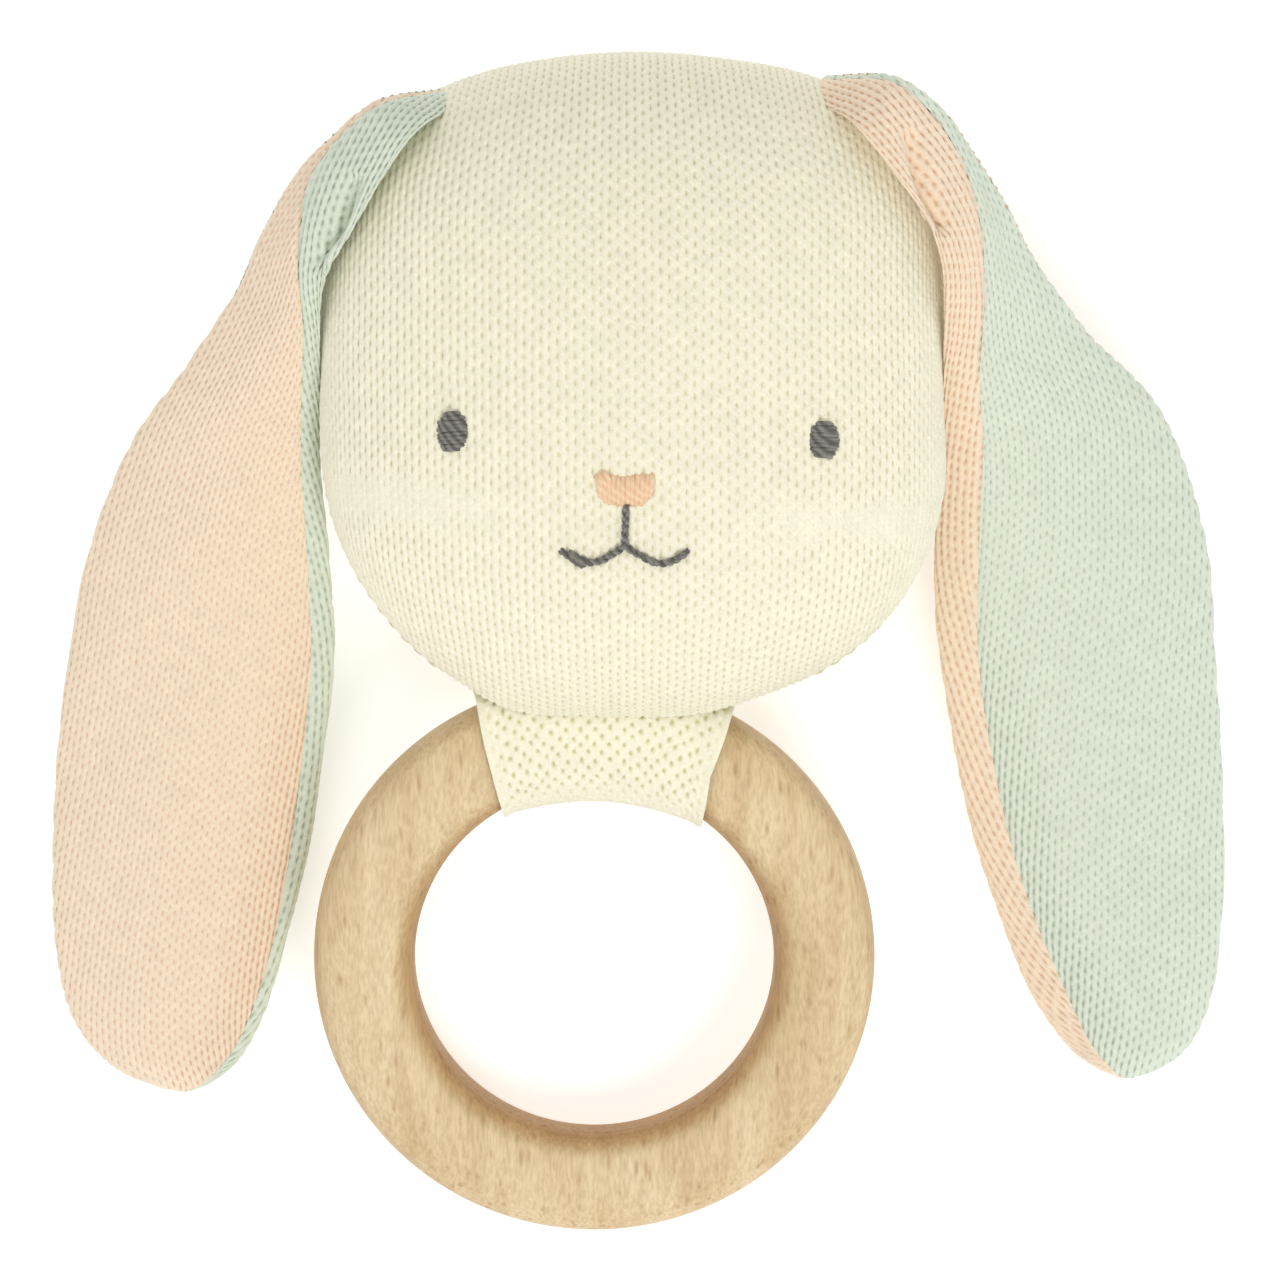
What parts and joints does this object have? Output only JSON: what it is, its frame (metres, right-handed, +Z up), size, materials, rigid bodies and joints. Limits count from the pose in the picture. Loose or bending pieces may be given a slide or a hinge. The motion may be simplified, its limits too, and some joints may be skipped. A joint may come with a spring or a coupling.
{
  "type": "teething ring",
  "caption": "Knitted rabbit-head rattle with long soft ears, sewn by a neck loop round a turned wooden teething ring.",
  "frame": {"origin": "on the floor under the middle of the whole toy, which lies on its back", "axes": "+Z up through the face, +Y from the ring towards the top of the head, +X to the viewer's right of the face"},
  "size_m": [0.1469, 0.1473, 0.0491],
  "materials": {
    "beech": "satin",
    "cream_knit": "matte",
    "peach_knit": "matte",
    "mint_knit": "matte",
    "grey_thread": "satin",
    "nose_thread": "satin",
    "cream_thread": "matte",
    "mint_thread": "matte",
    "peach_thread": "matte",
    "fibre_fill": "matte",
    "rattle_shell": "matte",
    "rattle_bead": "matte"
  },
  "bodies": {
    "head": {"head_front": "cream_knit", "head_back": "cream_knit", "head_seam": "cream_thread", "stuffing_front": "fibre_fill", "stuffing_back": "fibre_fill", "rattle_front": "rattle_shell", "rattle_back": "rattle_shell", "eye_left": "grey_thread", "eye_right": "grey_thread", "nose": "nose_thread", "mouth": "grey_thread"},
    "neck": {"neck_loop": "cream_knit", "neck_seam": "cream_thread"},
    "ring": {"ring": "beech"},
    "ear_left": {"ear_left_front": "peach_knit", "ear_left_back": "mint_knit", "ear_left_wadding": "fibre_fill", "ear_left_seam": "mint_thread"},
    "ear_right": {"ear_right_front": "mint_knit", "ear_right_back": "peach_knit", "ear_right_wadding": "fibre_fill", "ear_right_seam": "peach_thread"},
    "beads": {"rattle_beads": "rattle_bead"}
  },
  "joints": [
    {"name": "neck_flex", "type": "hinge", "parent": "head", "child": "neck", "pos_m": [-0.0058, -0.0114, 0.02], "axis": [-1, 0, 0], "range_deg": [-50, 60]},
    {"name": "ring_spin", "type": "hinge", "parent": "neck", "child": "ring", "pos_m": [-0.0058, -0.03927, 0.01316], "axis": [0, -0.2385, 0.9711], "continuous": true},
    {"name": "ear_left_swing", "type": "hinge", "parent": "head", "child": "ear_left", "pos_m": [-0.0263, 0.068, 0.0365], "axis": [0, 0, -1], "range_deg": [0, 150]},
    {"name": "ear_right_swing", "type": "hinge", "parent": "head", "child": "ear_right", "pos_m": [0.0243, 0.0696, 0.0365], "axis": [0, 0, 1], "range_deg": [0, 150]},
    {"name": "beads_slide", "type": "slide", "parent": "head", "child": "beads", "axis": [0, 0, 1], "range_m": [0, 0.015]}
  ]
}
